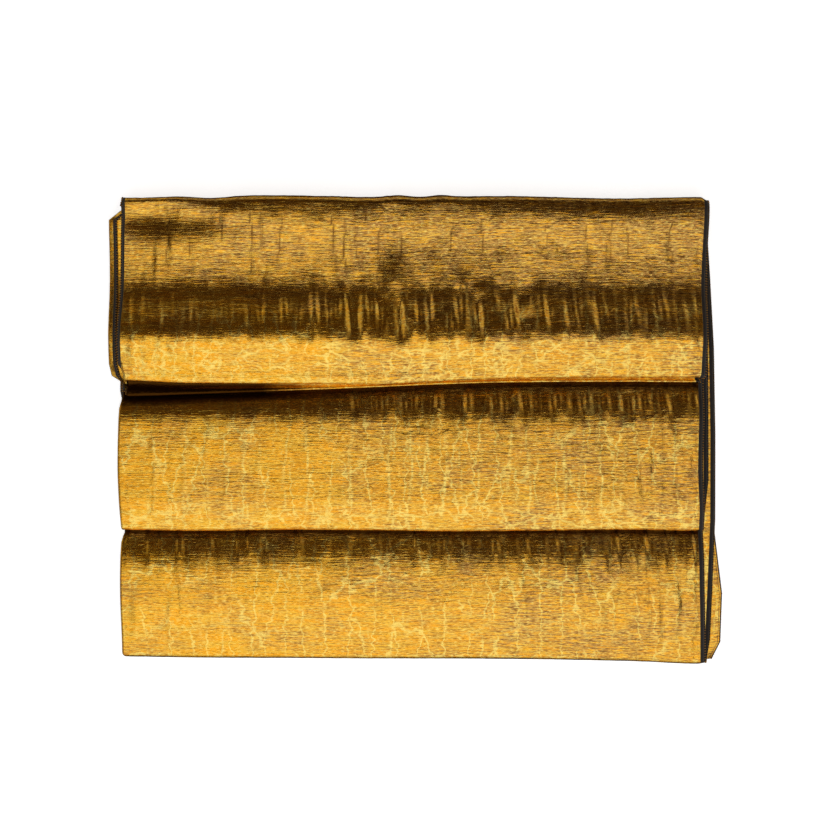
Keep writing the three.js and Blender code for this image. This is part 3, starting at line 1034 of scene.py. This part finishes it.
def gold_cloth():
    """Flat gold wefts on a dark warp, with slubs along the weft, and black selvedges."""
    s = Shader(bpy.data.materials.new("Gold weft on dark warp"))
    flat = s.node("ShaderNodeUVMap", uv_map="Flat cloth").outputs["UV"]
    across, down = s.part(flat, "X"), s.part(flat, "Y")
    pattern = patterns_of(s, flat)
    cloth = weft_colours(s, across, down, pattern)
    # painted glints along veins of fine creases
    cloth = s.mix(painted_vein_glints(s, flat, down, pattern), cloth, BRIGHT_THREADS_AND_PAINTED_GLINTS)
    cloth = creased(s, cloth, pattern)

    # Black selvedges, each with a pale thread in it
    from_edge = s.maths("SUBTRACT", CLOTH_WIDTH / 2, s.maths("ABSOLUTE", across))
    selvedge = s.between(s.maths("SUBTRACT", from_edge, s.carried("black")),
                         SELVEDGE_BLUR, -SELVEDGE_BLUR)
    thread = s.between(s.maths("ABSOLUTE", s.maths("SUBTRACT", from_edge, PALE_THREAD)),
                       0.0006, 0.0001, 0.0, 0.22)
    margin = s.mix(thread, BLACK_YARN, PALE_YARN)

    # Relief of the threads, and of the watering, which is calmer to the left
    uneven = s.between(across, -0.30, 0.0, 0.5, 1.0)
    pattern["watered"] = s.maths("MULTIPLY", pattern["watered"], uneven)
    normal = None
    for name, depth in BUMPS.items():
        normal = s.bump(pattern[name], depth, normal)
    return s.finish({
        "Base Color": s.mix(selvedge, cloth, margin),
        "Metallic": s.between(selvedge, 0.0, 1.0, 1.0, 0.0),
        "Roughness": s.between(selvedge, 0.0, 1.0, GOLD_ROUGHNESS, BLACK_ROUGHNESS),
        "Normal": normal,
    })


def black_yarn():
    s = Shader(bpy.data.materials.new("Black selvedge yarn"))
    twist = s.noise(s.stretched(s.place(), BLACK_LUMPS))
    return s.finish({"Base Color": s.mix(twist, BLACK_YARN, BROWN_YARN),
                     "Roughness": BLACK_ROUGHNESS, "Normal": s.bump(twist, TWIST_BUMP)})


def weft_yarn():
    s = Shader(bpy.data.materials.new("Gold weft yarn"))
    glint = s.noise(s.stretched(s.place(), WEFT_LUMPS))
    return s.finish({"Base Color": s.mix(glint, TAN_GOLD, ORANGE_GOLD), "Metallic": 1.0,
                     "Roughness": WEFT_ROUGHNESS})


def floor_finish():
    s = Shader(bpy.data.materials.new("Pale floor"))
    return s.finish({"Base Color": FLOOR_GREY, "Roughness": FLOOR_ROUGHNESS,
                     "Emission Color": WHITE, "Emission Strength": FLOOR_GLOW})


# The object


def piece_of(name, mesh):
    piece = bpy.data.objects.new(name, mesh)
    bpy.context.scene.collection.objects.link(piece)
    return piece


def edge_path(points):
    mesh = bpy.data.meshes.new("edge_path")
    mesh.from_pydata(points.tolist(), [(i, i + 1) for i in range(len(points) - 1)], [])
    return mesh


def selvedge_trim(points):
    """Cords along both selvedges, and the turns of the weft round the outer ones."""
    cord, turns = cord_tree(), weft_turn_tree()
    black, gold = black_yarn(), weft_yarn()
    last = points.shape[1] - 1
    trim = []
    for side, columns in (("left", CORD_COLUMNS), ("right", [last - k for k in CORD_COLUMNS])):
        for place, column in zip(("outer", "inner"), columns):
            piece = piece_of(f"{side}_{place}_cord", edge_path(points[:, column]))
            trim.append(apply_tree(piece, cord, {"Finish": black}))
        piece = piece_of(f"{side}_weft_turns", edge_path(points[:, columns[0]]))
        trim.append(apply_tree(piece, turns, {"Finish": gold}))
    return trim


def folded_cloth():
    points, outward, carried, kept, coarse, length = sheet_points()
    piece = piece_of("folded_cloth_sheet",
                     cloth_sheet(points, outward, carried, kept, coarse))
    apply_tree(piece, pucker_tree(), {"Finish": gold_cloth()})
    trim = selvedge_trim(points)
    for part in (piece, *trim):
        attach(part, "root")
    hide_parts("folded_cloth")


# Camera, lights and floor

CAMERA_HEIGHT = 3.0
FLOOR_VIEW = 1.630  # width of floor that fills the picture
SENSOR = 36.0
FLOOR_HALF_SIDE = 30.0
FLOOR_HEIGHT = -0.001


def camera():
    data = bpy.data.cameras.new("Camera")
    data.sensor_fit = "HORIZONTAL"
    data.sensor_width = SENSOR
    data.lens = SENSOR * CAMERA_HEIGHT / FLOOR_VIEW
    obj = bpy.data.objects.new("Camera", data)
    obj.location = (-MIDDLE[0], -MIDDLE[1], CAMERA_HEIGHT)
    bpy.context.scene.collection.objects.link(obj)
    bpy.context.scene.camera = obj


# Softboxes: where each hangs, where it points, its two sides and its power
SOFTBOX_COLUMNS = ("name", "place", "aim", "size", "power")
SOFTBOXES = [
    ("Front softbox", (0.0, -3.2, 2.75), (0.0, 0.0, 0.0), (4.6, 2.6), 41.5),
    ("Overhead softbox", (0.0, -1.0, 3.8), (0.0, -1.0, 0.0), (4.8, 2.56), 44.0),
    ("Right softbox", (1.7, 1.3, 2.2), (0.3, 0.1, 0.0), (1.1, 1.1), 0.6),
]


# The sky's colour by height, from -1 straight down, by 0 at the horizon, to 1 overhead. To
# the left and right its walls reach higher
CEILING = (0.040, 0.020, 0.007, 1.0)
WALLS = (0.66, 0.64, 0.61, 1.0)
SKY = [(-0.12, CEILING), (-0.05, WALLS), (0.28, WALLS), (0.46, CEILING)]
SIDE_WALLS = 0.3  # a height there counts for this share less


def softbox(name, place, aim, size, power):
    data = bpy.data.lights.new(name, "AREA")
    data.shape = "RECTANGLE"
    data.size, data.size_y = size
    data.energy = power
    obj = bpy.data.objects.new(name, data)
    obj.location = place
    way = Vector(aim) - Vector(place)
    obj.rotation_euler = way.to_track_quat("-Z", "Y").to_euler()
    bpy.context.scene.collection.objects.link(obj)


def floor():
    side = FLOOR_HALF_SIDE
    mesh = bpy.data.meshes.new("Floor")
    corners = [(-side, -side), (side, -side), (side, side), (-side, side)]
    mesh.from_pydata([(x, y, FLOOR_HEIGHT) for x, y in corners], [], [(0, 1, 2, 3)])
    mesh.materials.append(floor_finish())
    obj = piece_of("Floor", mesh)
    obj.visible_glossy = False


def pale_walls():
    s = Shader(bpy.data.worlds.new("Dim studio with pale walls"))
    way = s.place("Generated")
    share = s.maths("MULTIPLY_ADD", s.maths("ABSOLUTE", s.part(way, "X")), -SIDE_WALLS, 1.0)
    height = s.maths("MULTIPLY", s.part(way, "Z"), share)
    sky = s.node("ShaderNodeValToRGB", s.maths("MULTIPLY_ADD", height, 0.5, 0.5))
    stops = sky.color_ramp.elements
    for k, (up, colour) in enumerate(SKY):
        stop = stops[k] if k < 2 else stops.new(1.0)
        stop.position = (up + 1) / 2
        stop.color = colour
    return s.finish({"Color": sky.outputs["Color"]})


def studio():
    bpy.context.scene.world = pale_walls()
    bpy.context.scene.view_settings.view_transform = "Standard"
    for row in named_rows(SOFTBOX_COLUMNS, SOFTBOXES):
        softbox(**row)
    floor()


camera()
studio()
folded_cloth()
